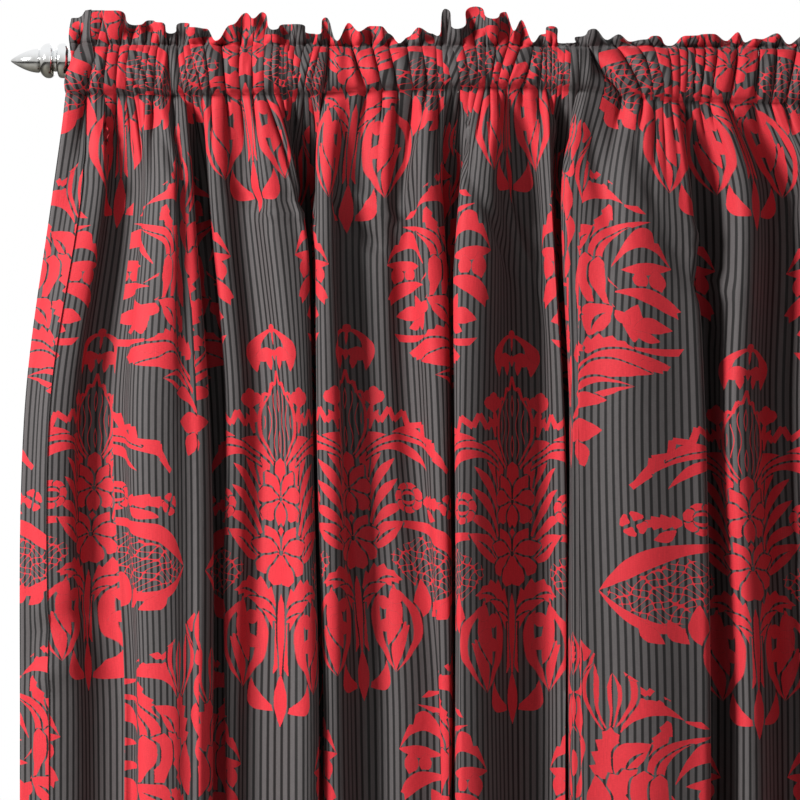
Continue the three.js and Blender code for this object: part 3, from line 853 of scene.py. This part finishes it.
def paint_motif(tree, leaves, point, textures, groups):
    """The figure that the leaves make, painted one over another."""
    figure = -1.0
    for leaf in leaves:
        kind = leaf.kind + ("_hollow" if leaf.hollow else "")
        if kind not in groups:
            groups[kind] = leaf_group(kind)
        node = tree.node("ShaderNodeGroup", node_tree=groups[kind])
        length = math.hypot(leaf.tip_x - leaf.x, leaf.tip_y - leaf.y)
        cos, sin = (leaf.tip_x - leaf.x) / length, (leaf.tip_y - leaf.y) / length
        x, y, width = leaf.x, leaf.y, leaf.width * FULLNESS
        along = [v / length for v in (cos, sin, -x * cos - y * sin)]
        across = [v / width for v in (-sin, cos, x * sin - y * cos)]
        tree.feed_all(node, Figure=figure, Point=point, Along=along, Across=across, Hollow=leaf.hollow,
                      Bow=-4 * leaf.bend * length / width, Gap=-leaf.gap * GAP_SHARE / width)
        if leaf.kind in SCRIBBLED:
            tree.feed(node.inputs["Texture"], textures[leaf.kind])
        figure = node.outputs[0]
    return figure


def reaches(leaf, upper):
    """Whether a leaf shows in the upper or the lower part of its motif."""
    bow = abs(leaf.bend) * math.hypot(leaf.tip_x - leaf.x, leaf.tip_y - leaf.y)
    around = leaf.width + bow + leaf.gap + 2
    if upper:
        return max(leaf.y, leaf.tip_y) + around > PART_HEIGHT
    return min(leaf.y, leaf.tip_y) - around < PART_HEIGHT


def motif_place(tree, motif, across, along):
    """Where a point lies on a motif: right of its axis and above its foot, in millimetres."""
    centred = tree.math("ADD", across, (PRINT_ROOM + 0.5) * REPEAT_WIDTH - motif.axis)
    from_axis = tree.math("SUBTRACT", tree.math("MODULO", centred, REPEAT_WIDTH), REPEAT_WIDTH / 2)
    raised = tree.math("ADD", along, PRINT_ROOM * REPEAT_HEIGHT - motif.foot + MOTIF_DIP)
    above_foot = tree.math("SUBTRACT", tree.math("MODULO", raised, REPEAT_HEIGHT), MOTIF_DIP)
    return tree.math("ABSOLUTE", from_axis), above_foot


def on_large_motif(tree, x, y):
    """1 where a point is in the large motif's part of the cloth and 0 where it is in the small one's."""
    edge = tree.node("ShaderNodeFloatCurve")
    rows = [(row.height / REPEAT_HEIGHT + 0.05, row.side / REPEAT_WIDTH) for row in LARGE_REACH]
    draw_curve(edge.mapping, rows, True)
    tree.feed(edge.inputs["Value"], tree.times_plus(y, 1 / REPEAT_HEIGHT, 0.05))
    return tree.math("LESS_THAN", tree.times(x, 1 / REPEAT_WIDTH), edge.outputs[0])


def damask(tree, across, along, wobble, painted):
    """painted makes the shader for a figure, which is positive on the red.

    Every point takes only the leaves of its own part of the print, which keeps renders short.
    """
    groups = {}
    sides = []
    for motif in MOTIFS:
        x, y = motif_place(tree, motif, across, along)
        point = tree.vector(tree.math("ADD", x, wobble), y, 1.0)
        textures = {"field": squiggles(tree, x, y), "bud": veins(tree, x, y)}
        parts = []
        for upper in (False, True):
            leaves = [leaf for leaf in motif.leaves if reaches(leaf, upper)]
            parts.append(painted(paint_motif(tree, leaves, point, textures, groups)))
        sides.append(tree.either(tree.math("GREATER_THAN", y, PART_HEIGHT), *parts))
    x, y = motif_place(tree, MOTIFS[0], across, along)
    return tree.either(on_large_motif(tree, x, y), sides[1], sides[0])


def squiggles(tree, x, y):
    """Thin looping lines, for the field inside a wing."""
    def swaying(a, rate, b, turns, sway):
        bent = tree.math("SINE", tree.times(b, turns))
        return tree.math("SINE", tree.times_plus(bent, sway, tree.times(a, rate)))

    lines = tree.math("ADD", swaying(x, 0.42, y, 0.21, 1.7), swaying(y, 0.5, x, 0.17, 2.2))
    return tree.times_plus(tree.math("ABSOLUTE", lines), -0.5, 0.13)


def veins(tree, x, y):
    """Thin wavering lines up a bud."""
    sway = tree.times(tree.math("SINE", tree.times(y, 0.13)), 0.9)
    vein = tree.math("ABSOLUTE", tree.math("SINE", tree.times_plus(x, 0.40, sway)))
    return tree.math("SUBTRACT", 0.2, vein)


def new_material(name):
    material = bpy.data.materials.new(name)
    material.use_nodes = True
    tree = Tree(material.node_tree)
    shader = material.node_tree.nodes["Principled BSDF"]
    return material, tree, shader


RED = (0.72, 0.036, 0.050, 1)
GREY = (0.112, 0.101, 0.101, 1)
BLACK = (0.0135, 0.012, 0.012, 1)


def cloth_material():
    material, tree, first = new_material("striped_damask")
    material.node_tree.nodes.remove(first)
    millimetres, across, along = tree.place("Flat")
    wobble = tree.times_plus(tree.noise(millimetres, 0.45, 2.0), 1.6, -0.8)
    line = tree.ramp(tree.wave(tree.math("ADD", across, 80.0), STRIPE_PITCH), 0.24, 0.54)
    slub = tree.noise(tree.scaled(millimetres, (1.4, 0.05, 1)), 1.0, 2.0)
    threads = tree.noise(tree.scaled(millimetres, (0.25, 1.6, 1)), 1.0, 1.0)
    tone = tree.times_plus(slub, 0.34, tree.times_plus(threads, 0.30, 0.68))
    ground = tree.mix(line, BLACK, GREY)
    weave_x = tree.math("SINE", tree.times(across, 9.0))
    weave_y = tree.math("SINE", tree.times(along, 9.0))
    weave = tree.times_plus(weave_x, 0.5, tree.times(weave_y, 0.5))
    crumple = tree.noise(millimetres, 0.06, 3.0, 0.6)
    relief = tree.times_plus(weave, 0.00004, tree.times(crumple, 0.0012))
    bump = tree.bump(0.55, relief)

    def painted(figure):
        colour = tree.mix(tree.ramp(figure, -0.02, 0.03), ground, RED)
        shaded = tree.node("ShaderNodeVectorMath", operation="SCALE")
        tree.feed(shaded.inputs[0], colour)
        tree.feed(shaded.inputs["Scale"], tone)
        shader = tree.node("ShaderNodeBsdfPrincipled")
        tree.feed_all(shader, Base_Color=shaded.outputs[0], Roughness=0.62, Specular_IOR_Level=0.2,
                      Sheen_Weight=0.05, Sheen_Roughness=0.45, Normal=bump)
        return shader.outputs[0]

    pattern = damask(tree, *tree.place("Print")[1:], wobble, painted)
    # Bounced light meets only the cloth's average colours.
    plain = tree.node("ShaderNodeBsdfDiffuse")
    average = tree.mix(tree.noise(millimetres, 0.02, 1.0), (0.10, 0.030, 0.032, 1), (0.26, 0.020, 0.026, 1))
    tree.feed(plain.inputs["Color"], average)
    bounced = tree.node("ShaderNodeLightPath").outputs["Is Diffuse Ray"]
    surface = material.node_tree.nodes["Material Output"].inputs["Surface"]
    tree.feed(surface, tree.either(bounced, pattern, plain.outputs[0]))
    return material


def tape_material():
    material, tree, shader = new_material("woven_tape")
    millimetres, across, _ = tree.place("Flat")
    pocket = tree.ramp(tree.wave(across, 11.0), 0.3, 0.4)
    rib = tree.math("SINE", tree.times(across, 5.2))
    grain = tree.noise(millimetres, 1.1, 2.0)
    colour = tree.mix(tree.times_plus(grain, 0.5, tree.times(pocket, 0.4)),
                      (0.60, 0.59, 0.55, 1), (0.80, 0.79, 0.75, 1))
    relief = tree.times_plus(rib, 0.00012, tree.times(pocket, 0.0004))
    tree.feed_all(shader, Base_Color=colour, Roughness=0.85, Normal=tree.bump(0.6, relief))
    return material


def chrome_material():
    material, tree, shader = new_material("polished_chrome")
    place = tree.node("ShaderNodeTexCoord").outputs["Object"]
    # The noise varies the chrome's roughness and also mottles its painted dark reflections.
    haze_and_painted_reflection_mottle = tree.noise(place, 90.0, 3.0)
    height = tree.node("ShaderNodeSeparateXYZ")
    tree.feed(height.inputs[0], place)
    # Painted shade and painted dark reflections: below the pole's axis the chrome's colour is painted
    # darker and mottled.
    under = tree.ramp(tree.times_plus(haze_and_painted_reflection_mottle, 0.006, height.outputs[2]), -0.010, 0.014)
    painted_dark_reflections = tree.mix(haze_and_painted_reflection_mottle, (0.10, 0.095, 0.075, 1), (0.34, 0.32, 0.27, 1))
    tree.feed_all(shader, Base_Color=tree.mix(under, painted_dark_reflections, (0.86, 0.87, 0.88, 1)), Metallic=1.0,
                  Roughness=tree.times_plus(haze_and_painted_reflection_mottle, 0.08, 0.05))
    return material


# ------ Stage ------
CAMERA_DISTANCE = 3.5
FRAME_WIDTH = 0.96
FRAME_CENTRE = (-0.076, -0.407)
SENSOR = 36.0
FLOOR_REACH = 9.0
UNDER_HEM = 0.02


def make_camera():
    camera = placed("camera", bpy.data.cameras.new("camera"))
    camera.data.sensor_width = SENSOR
    camera.data.lens = SENSOR * CAMERA_DISTANCE / FRAME_WIDTH
    camera.location = (FRAME_CENTRE[0], -CAMERA_DISTANCE, FRAME_CENTRE[1])
    camera.rotation_euler = (math.radians(90), 0, 0)
    bpy.context.scene.camera = camera


Lamp = namedtuple("Lamp", "name place target_z size power")
LAMPS = [Lamp(*row) for row in [
    ("key", (-2.9, -2.2, 0.9), -0.7, 1.0, 185),
    ("fill", (2.6, -3.2, 0.6), -0.9, 2.4, 4),
    ("back", (0.6, 3.0, 1.0), -0.9, 2.0, 20),
]]


def make_lamp(lamp):
    light = placed(lamp.name, bpy.data.lights.new(lamp.name, "AREA"))
    light.data.shape = "SQUARE"
    light.data.size = lamp.size
    light.data.energy = lamp.power
    light.location = lamp.place
    aim = Vector((0, 0, lamp.target_z)) - Vector(lamp.place)
    light.rotation_euler = aim.to_track_quat("-Z", "Y").to_euler()


def make_stage():
    floor_z = cad_box[0].z - UNDER_HEM
    corners = [(x * FLOOR_REACH, y * FLOOR_REACH, floor_z) for x, y in ((-1, -1), (1, -1), (1, 1), (-1, 1))]
    floor = placed("floor", new_mesh("floor", corners, [(0, 1, 2, 3)]))
    material, tree, shader = new_material("pale_floor")
    grain = tree.noise(tree.node("ShaderNodeTexCoord").outputs["Object"], 3.0, 3.0)
    pale = tree.mix(grain, (0.80, 0.80, 0.79, 1), (0.84, 0.84, 0.83, 1))
    tree.feed_all(shader, Base_Color=pale, Roughness=0.7)
    floor.data.materials.append(material)
    for lamp in LAMPS:
        make_lamp(lamp)
    make_world()


def make_world():
    world = bpy.data.worlds.new("studio")
    world.use_nodes = True
    bpy.context.scene.world = world
    tree = Tree(world.node_tree)
    background = world.node_tree.nodes["Background"]
    path = tree.node("ShaderNodeLightPath")
    seen = tree.math("MAXIMUM", path.outputs["Is Camera Ray"], path.outputs["Is Glossy Ray"])
    seen = tree.math("MAXIMUM", seen, path.outputs["Is Transmission Ray"])
    tree.feed_all(background, Color=(1, 1, 1, 1), Strength=tree.times_plus(seen, 0.93, 0.07))


# ------ Scene ------
make_camera()
make_stage()

bpy.context.scene.view_settings.view_transform = "Standard"

chrome = chrome_material()
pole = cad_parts["pole"].data
pole.materials.clear()
pole.materials.append(chrome)

for name, side in (("finial_left", -1), ("finial_right", 1)):
    piece = make_finial(name + "_turned", side)
    piece.data.materials.append(chrome)
    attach(piece, "root")
    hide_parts(name)

tape = make_tape()
tape.data.materials.append(tape_material())
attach(tape, "root")
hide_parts("heading_tape")

cloth = make_curtain()
cloth.data.materials.append(cloth_material())
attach(cloth, "root")
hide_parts("curtain_panel")
